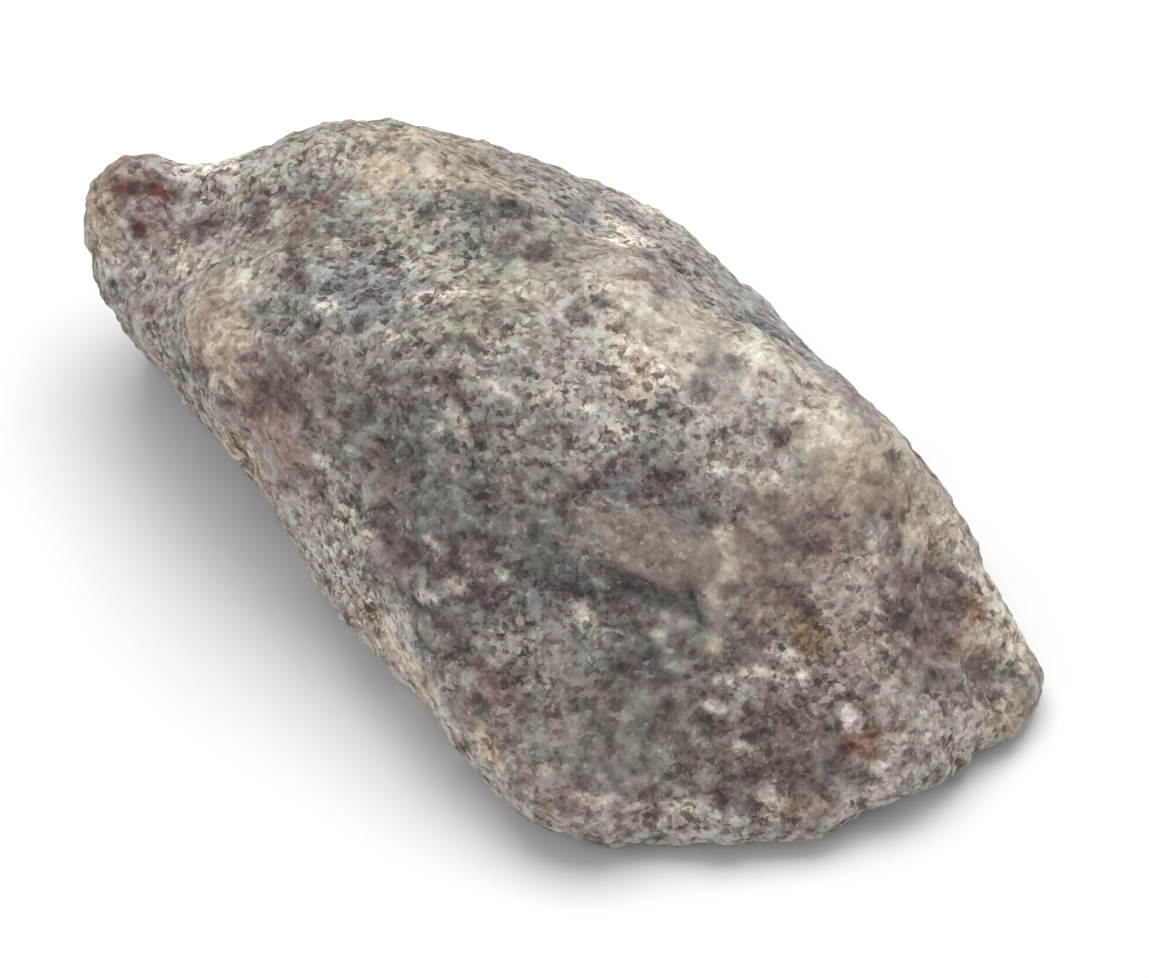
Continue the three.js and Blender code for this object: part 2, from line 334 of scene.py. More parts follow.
LUMP = ((660, 548), (86, 34), -20)
CROWN_SPOT = ((381, 175), (27, 20), 0)
RIDGE = ((675, 325), (110, 38), -52)
RIDGE_FOOT = ((850, 465), (62, 36), -50)
LEFT_PATCH = ((222, 312), (46, 36), -50)
CALM_PATCHES = (LUMP, CROWN_SPOT, RIDGE, RIDGE_FOOT, LEFT_PATCH)  # their grains show less than elsewhere
KNOB = ((134, 196), (40, 40), 0)  # it is full of small garnets

# Small forms: name, pixel of the middle, half length and half width in pixels, turn of the length from level
# in degrees, and height as a share of the highest. Hollows are below zero.
FORMS = [
    ("brown lump", *LUMP, 1.0),
    ("hollow below the lump", (640, 596), (54, 22), -26, -0.5),
    ("right plate", (918, 605), (44, 46), 0, -0.3),
    ("ridge knobs", (648, 265), (28, 16), -20, 0.6),
    ("ridge block", (745, 375), (44, 24), -40, 0.5),
    ("ridge step", (660, 345), (60, 32), -50, 0.4),
    ("crown knot", (575, 318), (34, 20), -20, -0.5),
    ("pit", (308, 327), (9, 8), 0, -0.8),
    ("left plate", (236, 285), (40, 24), -30, 0.5),
    ("tan bulge", (215, 335), (40, 26), -50, 0.4),
    ("plum hollow", (400, 540), (24, 34), 10, -0.5),
    ("pale block", (445, 590), (34, 18), -10, 0.5),
    ("low right block", (870, 690), (40, 44), 0, 0.5),
    ("rugged hollow", (715, 705), (36, 22), -30, -0.6),
    ("rugged block", (770, 690), (34, 22), -30, 0.5),
    ("low front block", (600, 700), (50, 28), -30, 0.4),
    ("tip hollow", (984, 672), (22, 20), 0, -0.4),
]

# Stains: name, pixel of the middle, half length and half width in pixels, turn of the length from level in
# degrees, colour and strength. The wide ones come first, and the small ones lie over them. A few of them are
# painted shade and painted light, as noted.
STAINS_AND_PAINTED_LIGHT = [
    ("khaki crown", (410, 240), (205, 115), -18, "khaki", 0.9),
    ("crown shade", (335, 335), (115, 52), -35, "mid_grey", 0.8),
    ("purple belt", (440, 425), (190, 58), -25, "purple_grey", 0.8),
    ("dark heart", (490, 560), (190, 90), -40, "dark_grey", 0.9),
    ("low front", (590, 705), (150, 85), -30, "purple_grey", 0.8),
    ("brown flank", (800, 580), (150, 115), -45, "brown", 0.75),
    ("rugged dark", (768, 750), (84, 58), 0, "dark_brown", 1.0),
    ("crown ring", (470, 208), (78, 22), -12, "mid_grey", 0.9),
    ("tan crown band", (450, 172), (75, 22), -8, "tan", 0.4),
    ("tan crown spot", *CROWN_SPOT, "tan", 0.85),
    ("cream ridge top", (616, 236), (40, 26), -50, "cream", 0.9),
    ("cream ridge", (645, 330), (80, 44), -55, "cream", 0.6),
    ("ridge middle", (762, 368), (52, 32), -40, "cream", 0.35),
    ("ridge low", (826, 432), (38, 30), -45, "cream", 0.9),
    ("ridge pink", (866, 472), (45, 36), -50, "tan", 0.75),
    ("ridge orange", (872, 482), (26, 8), -70, "ochre", 0.5),
    ("back strip", (770, 318), (140, 16), -43, "back_grey", 0.85),
    ("purple patch", (670, 478), (74, 38), -15, "purple_grey", 1.0),
    ("plum low left", (448, 565), (30, 16), -15, "plum", 0.55),
    ("brown lump", *LUMP, "lump_brown", 0.95),
    # painted shadow: charcoal below the lump, over the hollow that the lump shades
    ("lump shade", (640, 594), (50, 18), -26, "charcoal", 0.7),
    ("right edge", (925, 520), (38, 30), -55, "tan", 0.8),
    ("right plate", (928, 605), (54, 50), 0, "dark_brown", 0.5),
    ("right tip", (1003, 636), (42, 26), -50, "cream", 0.8),
    ("plate rim", (968, 644), (26, 12), 20, "tan", 0.4),
    ("plate ochre", (979, 606), (15, 12), 0, "ochre", 0.95),
    ("right tip spot", (984, 672), (24, 22), 0, "dark_brown", 0.6),
    ("ochre streak", (808, 634), (28, 17), -60, "ochre", 0.85),
    ("low right", (880, 670), (36, 60), 0, "brown", 0.3),
    ("low right rust", (872, 742), (34, 18), 10, "rust", 0.95),
    ("red dot", (871, 629), (7, 6), 0, "red", 0.7),
    ("low right beige", (960, 722), (60, 34), 15, "pink_beige", 0.55),
    # the left and bottom rims are partly their own paler colour and partly painted bounce light on the lower
    # edges
    ("left rim", (395, 640), (180, 24), -52, "pale_grey", 0.75),
    ("bottom rim", (585, 812), (60, 22), -10, "pink_beige", 0.2),
    ("rusty left strip", (272, 432), (60, 20), -50, "rust", 0.5),
    ("tan left patch", (218, 330), (50, 32), -50, "tan", 0.5),
    ("left end", (118, 250), (32, 44), 0, "pale_grey", 0.75),
    ("neck", (205, 165), (46, 22), 8, "white", 0.8),
    ("knob", (134, 190), (38, 28), 0, "dark_rust", 0.6),
    ("below knob", (165, 225), (40, 16), -15, "brown", 0.5),
]

# Shades and lights: name, colour, strength and, by part of the rock, the places of all patches of that kind:
# pixel of the middle, half length and half width, and turn, as in the stains. A few lights are painted rim
# light along the outline, as noted.
SHADES = [
    ("slate shades", "slate", 0.7, {
        "crown": [((365, 288), (74, 34), -12), ((590, 222), (30, 14), -48)],
        "ridge": [((765, 330), (44, 12), -43)]}),
    ("grey shades", "dark_grey", 0.65, {
        "left side": [((270, 318), (24, 15), -20)],
        "crown": [((325, 200), (50, 36), -10), ((485, 240), (62, 24), -12), ((355, 237), (26, 20), 0)],
        "ridge": [((665, 303), (20, 13), -30)],
        "heart": [((374, 455), (26, 48), 15)],
        "low front": [((600, 642), (28, 32), 0), ((637, 725), (14, 36), 0), ((700, 644), (56, 38), -15)]}),
    ("dark shades", "charcoal", 0.55, {
        "crown": [((455, 343), (22, 11), -10)],
        "ridge": [((660, 414), (22, 16), 0)],
        "heart": [((560, 590), (54, 30), -30), ((550, 525), (22, 16), 0), ((438, 413), (28, 14), 0),
            ((498, 408), (16, 18), 0), ((508, 368), (20, 11), 45), ((440, 530), (18, 16), 0)],
        "lump": [((632, 490), (42, 22), -10), ((690, 528), (32, 14), -20), ((612, 630), (18, 14), 0)],
        "low front": [((657, 666), (28, 16), 0), ((604, 780), (28, 22), 0), ((462, 712), (24, 18), -40),
            ((422, 640), (14, 34), 20)]}),
    ("plum shades", "plum", 0.6, {
        "heart": [((470, 570), (40, 34), 0), ((388, 558), (24, 36), 0)]}),
    ("brown shades", "dark_brown", 0.55, {
        "left side": [((310, 402), (38, 40), 0)],
        "ridge": [((796, 425), (20, 13), 0)],
        "right flank": [((780, 555), (17, 44), 0), ((885, 500), (42, 20), -20)],
        "low front": [((555, 795), (20, 18), 0), ((520, 770), (14, 16), 0)],
        "low right": [((826, 788), (22, 38), 0), ((760, 665), (24, 30), 0), ((830, 745), (14, 16), 0),
            ((832, 665), (18, 16), 0), ((815, 803), (30, 15), 10), ((930, 662), (34, 22), 0),
            ((975, 690), (24, 20), 0)]}),
    ("rusty shades", "rust", 0.4, {
        "left side": [((205, 350), (22, 28), 0)],
        "crown": [((300, 215), (20, 16), 0)],
        "low front": [((490, 705), (24, 34), -40), ((560, 802), (26, 13), 0)],
        "low right": [((800, 808), (34, 12), 10), ((978, 640), (22, 34), 0)]}),
    ("dark rusty shades", "dark_rust", 0.35, {
        "left side": [((278, 388), (36, 28), -20)],
        "heart": [((382, 468), (18, 40), 10)],
        "low right": [((935, 648), (30, 24), 0)]}),
    ("grey lights", "stone_grey", 0.6, {
        "crown": [((352, 356), (28, 22), 0)],
        "heart": [((514, 470), (24, 44), 20), ((378, 392), (20, 12), -20)],
        "low front": [((525, 658), (54, 26), -25), ((592, 712), (50, 34), -30),
            ((668, 765), (12, 26), 0)]}),
    ("pale lights", "pale_grey", 0.5, {
        "knob and neck": [((215, 186), (18, 22), 0), ((132, 241), (26, 18), 0)],
        "left side": [((340, 508), (32, 14), -65)],
        "crown": [((545, 305), (50, 26), 20), ((495, 335), (18, 14), 0), ((412, 258), (24, 13), 0),
            ((330, 156), (26, 18), 0), ((370, 198), (20, 11), 0)],
        "ridge": [((602, 450), (36, 17), 30), ((625, 268), (24, 17), 0)],
        "heart": [((578, 370), (16, 20), 0)],
        "lump": [((735, 512), (24, 10), -40)]}),
    ("bright lights", "pale_grey", 0.75, {
        "ridge": [((748, 458), (58, 28), -10), ((720, 400), (27, 22), 0)]}),
    ("tan lights", "tan", 0.6, {
        "knob and neck": [((100, 215), (16, 40), 0)],
        # painted rim light along the outline: this left side patch and the crown patch below
        "left side": [((240, 452), (40, 13), -52)],
        "crown": [((424, 138), (70, 9), -8)],
        "ridge": [((642, 378), (16, 22), 0)],
        "low front": [((488, 752), (24, 9), -60)],
        "low right": [((1008, 715), (26, 10), 40)]}),
    ("cream lights", "cream", 0.5, {
        "knob and neck": [((190, 266), (28, 17), 0)],
        # painted rim light along the outline: the first ridge patch, at the right edge
        "ridge": [((908, 456), (40, 18), -48), ((690, 318), (32, 30), -40), ((815, 380), (32, 9), -42),
            ((655, 215), (36, 10), -35)],
        "right flank": [((974, 566), (50, 15), -62)]}),
    ("pink lights", "pink_beige", 0.65, {
        "knob and neck": [((125, 163), (18, 12), 0)],
        "right flank": [((866, 590), (30, 38), 0), ((825, 592), (12, 26), 0)],
        "low front": [((655, 812), (42, 14), 0)],
        "low right": [((768, 800), (11, 26), 0), ((884, 668), (14, 28), 0), ((872, 795), (40, 10), 30),
            ((898, 740), (20, 13), 0)]}),
]

# Spots: the same for small marks, which lie over all the others. Some dark spots are painted shade, as
# noted.
SPOTS_AND_PAINTED_SHADE = [
    ("dark spots", "charcoal", 0.7, {
        "knob and neck": [((118, 285), (16, 14), 0)],
        # the spot at (308, 327) is painted shade in the pit there
        "left side": [((190, 370), (32, 8), -35), ((330, 585), (8, 11), 0), ((308, 327), (8, 8), 0)],
        # the spot at (505, 208) is painted shadow along the crown crack
        "crown": [((345, 245), (5, 20), 0), ((388, 255), (13, 6), -15), ((395, 284), (11, 7), -15),
            ((505, 208), (38, 7), -6), ((475, 222), (11, 9), 0), ((463, 345), (17, 6), -10),
            ((575, 210), (15, 14), 0), ((583, 315), (19, 10), -20), ((465, 196), (9, 6), 0),
            ((557, 325), (7, 7), 0)],
        "ridge": [((600, 303), (8, 10), 0), ((672, 262), (15, 8), -50), ((665, 395), (13, 8), 0),
            ((700, 390), (16, 9), 20), ((732, 365), (8, 10), 0), ((685, 415), (9, 8), 0),
            ((895, 465), (14, 8), -70)],
        "heart": [((490, 470), (9, 8), 0), ((395, 460), (8, 20), 0), ((440, 622), (18, 8), -70),
            ((365, 418), (14, 6), -20), ((548, 582), (12, 6), 0), ((597, 592), (16, 8), -20),
            ((430, 610), (10, 6), 0), ((585, 422), (10, 12), 0)],
        # the spots at (635, 580) and (688, 602) are painted shadow below the lump and in the gash
        "lump": [((635, 580), (15, 10), -10), ((688, 602), (24, 11), -70), ((690, 515), (18, 10), -20),
            ((705, 623), (6, 9), 0), ((625, 488), (20, 13), 0)],
        "right flank": [((870, 525), (12, 18), 0), ((795, 592), (14, 7), -60), ((807, 614), (9, 9), 0),
            ((905, 613), (11, 13), 0)],
        "low front": [((650, 670), (8, 13), 0), ((482, 706), (13, 7), -50), ((513, 740), (14, 6), -70),
            ((705, 738), (6, 30), 0), ((645, 666), (15, 12), 0), ((425, 645), (20, 6), -50)],
        "low right": [((760, 735), (11, 9), 0), ((825, 770), (5, 22), 0), ((930, 680), (9, 14), 0),
            ((735, 805), (22, 8), 0), ((903, 656), (10, 12), 0), ((983, 670), (14, 13), 0),
            ((827, 731), (10, 10), 0), ((827, 763), (6, 16), 0)]}),
    ("plum spots", "plum", 0.75, {
        "knob and neck": [((212, 222), (30, 14), 0), ((195, 229), (22, 12), 0)],
        "crown": [((257, 212), (13, 20), 0), ((298, 281), (18, 11), -15), ((540, 253), (15, 15), 0)],
        "ridge": [((773, 435), (15, 8), -10), ((644, 260), (9, 7), 0)],
        "heart": [((395, 555), (22, 17), -10), ((490, 593), (26, 9), -50), ((380, 377), (16, 5), -20),
            ((385, 525), (8, 16), 0), ((398, 582), (9, 9), 0)],
        "lump": [((755, 638), (28, 7), -62), ((659, 483), (24, 14), 0)],
        "low front": [((560, 800), (13, 8), 0)],
        "low right": [((745, 775), (20, 16), -40)]}),
    ("rusty spots", "dark_rust", 0.7, {
        "left side": [((150, 308), (7, 8), 0)],
        "crown": [((322, 203), (9, 9), 0)],
        "ridge": [((640, 276), (22, 6), -8)],
        "right flank": [((820, 548), (14, 8), -10), ((917, 575), (20, 8), 0)],
        "low front": [((480, 666), (11, 10), 0), ((530, 770), (11, 11), 0)],
        "low right": [((848, 745), (9, 7), 0)]}),
    ("garnets", "garnet", 0.9, {
        "knob and neck": [((126, 191), (16, 8), 18), ((160, 190), (12, 8), -60),
            ((138, 228), (9, 10), 10)]}),
    ("brown spots", "dark_brown", 0.7, {
        "left side": [((281, 388), (28, 20), -10)],
        "ridge": [((659, 293), (8, 8), 0), ((706, 366), (9, 9), 0)],
        "heart": [((450, 386), (30, 8), -33)],
        "lump": [((623, 610), (7, 13), 0)],
        "right flank": [((790, 520), (26, 9), -70), ((895, 535), (30, 6), -80), ((957, 612), (9, 12), 0)],
        "low front": [((515, 686), (12, 10), 0)]}),
    ("tan spots", "tan", 0.6, {
        "left side": [((225, 342), (30, 9), 0), ((222, 379), (14, 8), 0)],
        "ridge": [((605, 279), (16, 10), 0)],
        "low front": [((715, 644), (10, 8), 0), ((390, 640), (70, 9), -52), ((492, 748), (20, 7), -65)]}),
    ("pale spots", "cream", 0.55, {
        "knob and neck": [((245, 282), (26, 17), -20), ((232, 172), (10, 9), 0), ((180, 250), (10, 9), 0)],
        "left side": [((325, 305), (18, 6), -10), ((222, 384), (16, 8), -30), ((345, 520), (14, 13), 0)],
        "crown": [((395, 335), (12, 10), 0), ((440, 298), (38, 8), 6), ((530, 290), (20, 8), 0),
            ((340, 245), (12, 8), 0)],
        "ridge": [((625, 248), (9, 8), 0), ((632, 290), (16, 8), -10), ((760, 355), (24, 15), -30),
            ((828, 425), (24, 20), -60), ((617, 430), (9, 8), 0), ((790, 415), (9, 9), 0),
            ((705, 310), (14, 10), -30), ((612, 218), (14, 20), 0), ((767, 479), (16, 9), 0),
            ((720, 463), (16, 9), 0), ((678, 455), (12, 6), 0)],
        "heart": [((455, 420), (18, 9), -60), ((492, 386), (28, 5), -28), ((545, 395), (14, 7), 0),
            ((585, 618), (14, 10), -60), ((430, 538), (7, 7), 0), ((367, 540), (16, 10), 0),
            ((459, 587), (10, 8), 0), ((438, 429), (7, 7), 0), ((590, 408), (10, 6), 0),
            ((504, 575), (7, 7), 0)],
        "lump": [((725, 545), (8, 20), 0), ((660, 635), (9, 8), 0), ((725, 570), (12, 14), 0),
            ((713, 595), (8, 12), 0)],
        "right flank": [((930, 515), (22, 12), -10), ((765, 530), (16, 7), -35), ((870, 545), (8, 20), 0)],
        "low front": [((590, 800), (24, 8), 5), ((682, 810), (13, 8), 0), ((546, 764), (6, 8), 0)],
        "low right": [((755, 675), (20, 6), 0), ((742, 746), (16, 6), -20), ((1010, 640), (14, 16), 0),
            ((886, 761), (7, 7), 0), ((771, 804), (8, 12), 0)]}),
    ("white spots", "white", 0.5, {
        "left side": [((325, 461), (14, 5), -72)],
        "ridge": [((665, 369), (18, 7), 42), ((778, 462), (8, 8), 0)],
        "heart": [((432, 593), (15, 6), 0)],
        "low front": [((715, 706), (13, 7), -25)],
        "low right": [((722, 681), (9, 6), 0), ((780, 677), (7, 7), 0), ((806, 680), (8, 8), 0),
            ((780, 652), (14, 7), -10), ((847, 720), (15, 7), -58)]}),
]

# Stains of the side that the photograph doesn't show: width of the clouds in metres, colour and strength.
UNSEEN_STAINS = [
    (0.016, "purple_grey", 0.9),
    (0.012, "khaki", 0.8),
    (0.009, "brown", 0.7),
    (0.007, "pale_grey", 0.6),
    (0.006, "dark_grey", 0.7),
    (0.004, "tan", 0.45),
    (0.003, "charcoal", 0.45),
]

UNSEEN_STEP = (0, 0.12)  # where such a stain starts and is full, in its clouds
UNSEEN_BLOTCHES = 0.3  # how much blotches move its edge
HIDDEN_STEP = (0.05, -0.25)  # where that side starts and is full, by how much the surface faces the viewer

# Layers of the stone, which patterns are flattened along
LAYER_NORMAL = (0.342, 0.720, 0.604)
LAYER_SQUEEZE = 1.3

# Depth and edges of patches, as shares of their half width
PATCH_DEPTH = 2.2
STAIN_SOFTNESS = 0.4
SPOT_SOFTNESS = 0.5
FORM_SOFTNESS = 0.25
RAGGED_MOTTLES = 0.8  # how far mottles and blotches move the edges
RAGGED_BLOTCHES = 0.9

# Clouds: their width in metres, how fine they get, and a shift that sets each kind apart from the others.
MOTTLES = {"width": 0.0028, "detail": 1, "roughness": 0.6, "shift": 0.1}
BLOTCHES = {"width": 0.0014, "detail": 1, "roughness": 0.6, "shift": 0.2}
GRAINS = {"width": 0.0007, "detail": 0, "shift": 0.3}
WIDE_CLOUDS = {"width": 0.006, "detail": 1, "roughness": 0.6, "shift": 0.5}
HUES = {"width": 0.0018, "detail": 2, "roughness": 0.9, "shift": 0.7}
CRISP_AREAS = {"width": 0.009, "detail": 0, "shift": 0.8}

# Widths of cells in metres, and how far places are shaken to make cells and stains irregular
CRYSTAL_WIDTH = 0.00042
CRUMB_WIDTH = 0.00028
CRYSTAL_SHAKE = {"width": 0.0003, "reach": 0.0005}
STAIN_SHAKE = {"width": 0.002, "reach": 0.0012}
SCOOP_SHAKE_WIDTH = 0.7  # as shares of a scoop's width
SCOOP_SHAKE_REACH = 0.5
SMALL_SCOOPS = 0.4  # size of the small scoops, as a share of the wide ones

# How strongly each pattern lightens and darkens the stone
CLOUD_TONE = 0.5
MOTTLE_TONE = 1.25
BLOTCH_TONE = 1.45
GRAIN_TONE = 0.7
CRYSTAL_TONE = 0.86
CRUMB_TONE = 0.78
CRISP_CHANGE = 1.8  # how much crystals and crumbs differ from area to area
TONE_BEND = 0.4  # holds back the lightest tones and deepens the darkest
HUE_TINT = (0.4, -0.1, 0.18)  # what hues and tones add to red, green and blue
TONE_TINT = (-0.1, 0, 0.06)
CALM_TONE = 0.4  # how much weaker tones, specks and hues are in calm patches
CALM_SPECKS = 0.3
CALM_HUE = 0.5

# Minerals: where each starts and is full in its pattern, how much clusters move that, and its strength
DUSKY_STEP = (0.12, 0.3)
DUSKY_BLOTCHES = 0.4
DUSKY_STRENGTH = 0.5
SPECK_STEP = (-0.36, -0.56)
SPECK_BLOTCHES = 1.2
SPECK_STRENGTH = 0.4
FLECK_STEP = (0.44, 0.52)
FLECK_BLOTCHES = 0.5
FLECK_STRENGTH = 0.2
GARNET_STEP = (0.6, 0.8)
GARNET_MOTTLES = 1.5
GARNET_STRENGTH = 0.6
GARNET_GLOSS = 0.3  # how much smoother garnets are than the stone
CRACK_PAINTED_SHADE = 0.5  # how much painted shade darkens the stone in the cracks

# Small bumps that only the light shows
BUMP_STRENGTH = 0.5
BUMP_HEIGHT = 0.0003
BUMP_CRUMBS = 0.3


# Rock surface

def merged_copy(node):
    """A new mesh with the node's shape, whose loose triangles are joined at their corners."""
    mesh = bpy.data.meshes.new(ROCK_PIECE)
    corners = [vertex.co for vertex in node.data.vertices]
    mesh.from_pydata(corners, [], [list(face.vertices) for face in node.data.polygons])
    joined = bmesh.new()
    joined.from_mesh(mesh)
    bmesh.ops.remove_doubles(joined, verts=joined.verts, dist=MERGE_DISTANCE)
    joined.to_mesh(mesh)
    joined.free()
    return mesh


def new_piece(name, mesh):
    """An object at the origin that shows a mesh."""
    piece = bpy.data.objects.new(name, mesh)
    bpy.context.scene.collection.objects.link(piece)
    return piece


def layered(tree, place):
    """Places squeezed across the stone's layers, so that patterns in them are flattened along the layers."""
    across = tree.dot(place, LAYER_NORMAL) * (LAYER_SQUEEZE - 1)
    return tree.vector("ADD", place, tree.scaled(LAYER_NORMAL, across))


def mottles(tree, place):
    """Wide clusters of pale and dark grains, flattened along the layers. The pale ones are also high."""
    return tree.clouds(layered(tree, place), **MOTTLES)


def blotches(tree, place):
    """Small clusters of pale and dark grains."""
    return tree.clouds(place, **BLOTCHES)


def grains(tree, place):
    """Single mineral grains."""
    return tree.clouds(place, **GRAINS)


def scoops(tree, position, width):
    """Scoops that meet in ridges, as in broken stone: low in the middle of each and high where they meet."""
    shaken = tree.shaken(position, width * SCOOP_SHAKE_WIDTH, width * SCOOP_SHAKE_REACH)
    return tree.cells(shaken, width) - NOISE_MIDDLE


def new_group(name, inputs, outputs):
    """A geometry node tree with named inputs and outputs of given kinds. Gives the tree and its inputs."""
    group = bpy.data.node_groups.new(name, "GeometryNodeTree")
    for way, sockets in (("INPUT", inputs), ("OUTPUT", outputs)):
        for socket, kind in sockets.items():
            group.interface.new_socket(socket, in_out=way, socket_type=f"NodeSocket{kind}")
    tree = Tree(group)
    first = tree.add("NodeGroupInput")
    return tree, {name: first.other(name) for name in inputs}


PATCH_INPUTS = {"Place": "Vector", "Ragged": "Float", "Softness": "Float", "Middle": "Vector",
                "Rotation": "Rotation", "Half Sizes": "Vector"}
STAIN_INPUTS = {"Base": "Color", "Colour": "Color", "Strength": "Float"}


def patch_group():
    """How much of a patch there is at each point: 1 inside, 0 outside, with soft and ragged edges."""
    tree, given = new_group("Patch", PATCH_INPUTS, {"Share": "Float"})
    to_rock = tree.add("FunctionNodeCombineTransform", {}, {
        "Translation": given["Middle"], "Rotation": given["Rotation"], "Scale": given["Half Sizes"]})
    from_rock = tree.add("FunctionNodeInvertMatrix", {}, {"Matrix": to_rock})
    local = tree.add("FunctionNodeTransformPoint", {}, {"Vector": given["Place"], "Transform": from_rock})
    reach = tree.length(local) + given["Ragged"]
    share = tree.step(reach, 1 + given["Softness"], 1 - given["Softness"])
    tree.add("NodeGroupOutput", {}, {"Share": share})
    return tree.node_tree


def stain_group(patch):
    """A colour with a stain over it that fills a patch."""
    tree, given = new_group("Stain", PATCH_INPUTS | STAIN_INPUTS, {"Colour": "Color"})
    share = tree.add("GeometryNodeGroup", {"node_tree": patch}, {name: given[name] for name in PATCH_INPUTS})
    colour = tree.mix(share * given["Strength"], given["Base"], given["Colour"])
    tree.add("NodeGroupOutput", {}, {"Colour": colour})
    return tree.node_tree


def line_set(tree, lines):
    """The straight pieces of several lines, as edges that distances are measured to."""
    pieces = []
    for points in lines:
        for start, end in zip(points, points[1:]):
            curve = tree.add("GeometryNodeCurvePrimitiveLine", {}, {"Start": start, "End": end})
            pieces.append(tree.add("GeometryNodeCurveToMesh", {}, {"Curve": curve}))
    joined = tree.node_tree.nodes.new("GeometryNodeJoinGeometry")
    for piece in pieces:
        tree.node_tree.links.new(piece.socket, joined.inputs[0])
    return Field(tree, joined.outputs[0])


def patch_share(tree, patch, place, ragged, placing):
    """How much of one patch there is, for forms and other patches with firm edges."""
    return tree.add("GeometryNodeGroup", {"node_tree": patch}, {
        "Place": place, "Ragged": ragged, "Softness": FORM_SOFTNESS, **placing})


def crack_share(tree, position, width, lines):
    """How much of a crack there is, with uneven edges."""
    uneven = tree.clouds(position, width=width)
    reach = tree.add("GeometryNodeProximity", {"target_element": "EDGES"},
                     {"Geometry": line_set(tree, lines)}, "Distance")
    return tree.step(reach + uneven * width, width, 0)


def seen_stains_and_painted_light(tree, stain, place, ragged, stains, colours):
    """The colour of the side that the photograph shows, with its stains one over the other, painted shade
    and light among them.
    """
    colour = (*colours.stone_grey, 1)
    for placing, softness, shade, strength in stains:
        colour = tree.add("GeometryNodeGroup", {"node_tree": stain}, {
            "Place": place, "Ragged": ragged, "Softness": softness, **placing,
            "Base": colour, "Colour": (*getattr(colours, shade), 1), "Strength": strength})
    return colour


def unseen_stains(tree, position, blotch, colours):
    """The colour of the side that the photograph doesn't show, with cloudy stains at random."""
    colour = (*colours.stone_grey, 1)
    for width, shade, strength in UNSEEN_STAINS:
        cloud = tree.clouds(position, width=width, shift=width)
        share = tree.step(cloud + blotch * UNSEEN_BLOTCHES, *UNSEEN_STEP)
        colour = tree.mix(share * strength, colour, (*getattr(colours, shade), 1))
    return colour


SIZE_INPUTS = ("scoop_width", "scoop_depth", "form_height", "blotch_height", "grain_height", "crack_width",
               "crack_depth")


def surface_tree(marks, colours):
    """The tree that divides the solid's triangles, roughens the surface and stores its colours."""
    sizes = {name: "Float" for name in SIZE_INPUTS}
    inputs = {"Geometry": "Geometry", "smoothing": "Int"} | sizes | {"Material": "Material"}
    tree, given = new_group("Rock surface", inputs, {"Geometry": "Geometry"})
    patch = patch_group()
    position = tree.add("GeometryNodeInputPosition")
    normal = tree.add("GeometryNodeInputNormal")
    mottle = mottles(tree, position)
    blotch = blotches(tree, position)
    ragged = mottle * RAGGED_MOTTLES + blotch * RAGGED_BLOTCHES
    drifted = tree.shaken(position, **STAIN_SHAKE)

    small_width = given["scoop_width"] * SMALL_SCOOPS
    relief = scoops(tree, position, given["scoop_width"]) * given["scoop_depth"]
    relief += scoops(tree, position, small_width) * given["scoop_depth"] * SMALL_SCOOPS
    relief += (mottle + blotch) * given["blotch_height"]
    relief += grains(tree, position) * given["grain_height"]
    for placing, height in marks["forms"]:
        relief += patch_share(tree, patch, position, ragged, placing) * given["form_height"] * height
    crack = crack_share(tree, position, given["crack_width"], marks["cracks"])
    relief -= crack * given["crack_depth"]

    seen = seen_stains_and_painted_light(tree, stain_group(patch), drifted, ragged, marks["stains"], colours)
    unseen = unseen_stains(tree, position, blotch, colours)
    hidden = tree.step(tree.dot(normal, marks["towards"]) + mottle, *HIDDEN_STEP)
    fine = tree.add("GeometryNodeSubdivisionSurface", {},
                    {"Mesh": given["Geometry"], "Level": given["smoothing"]})
    # the stored stain colour holds the painted shade and light as well as the stains
    stored = tree.add("GeometryNodeStoreNamedAttribute", {"data_type": "FLOAT_COLOR"},
                      {"Geometry": fine, "Name": "stain", "Value": tree.mix(hidden, seen, unseen)})
    # the crack share is stored for the painted shade in the cracks
    shares = {"crack": crack}
    for name in ("calm", "knob"):
        shares[name] = sum(patch_share(tree, patch, drifted, ragged, placing) for placing in marks[name])
    for name, share in shares.items():
        stored = tree.add("GeometryNodeStoreNamedAttribute", {},
                          {"Geometry": stored, "Name": name, "Value": share})

    moved = tree.add("GeometryNodeSetPosition", {},
                     {"Geometry": stored, "Offset": tree.scaled(normal, relief)})
    above_floor = tree.vector("MAXIMUM", position, FLOOR_CORNER)
    rested = tree.add("GeometryNodeSetPosition", {}, {"Geometry": moved, "Position": above_floor})
    smooth = tree.add("GeometryNodeSetShadeSmooth", {}, {"Geometry": rested})
    real = tree.add("GeometryNodeRealizeInstances", {}, {"Geometry": smooth})
    coloured = tree.add("GeometryNodeSetMaterial", {},
                        {"Geometry": real, "Material": given["Material"]})
    tree.add("NodeGroupOutput", {}, {"Geometry": coloured})
    return tree.node_tree


def shape_surface(piece, group, settings, material):
    """Runs the surface tree on a piece and leaves the result as its plain mesh."""
    modifier = piece.modifiers.new("Surface", "NODES")
    modifier.node_group = group
    values = {name: getattr(settings, name) for name in ("smoothing", *SIZE_INPUTS)}
    values["Material"] = material
    for socket in group.interface.items_tree:
        if socket.in_out == "INPUT" and socket.name in values:
            modifier[socket.identifier] = values[socket.name]
    depsgraph = bpy.context.evaluated_depsgraph_get()
    shaped = bpy.data.meshes.new_from_object(piece.evaluated_get(depsgraph), depsgraph=depsgraph)
    piece.modifiers.remove(modifier)
    piece.data = shaped


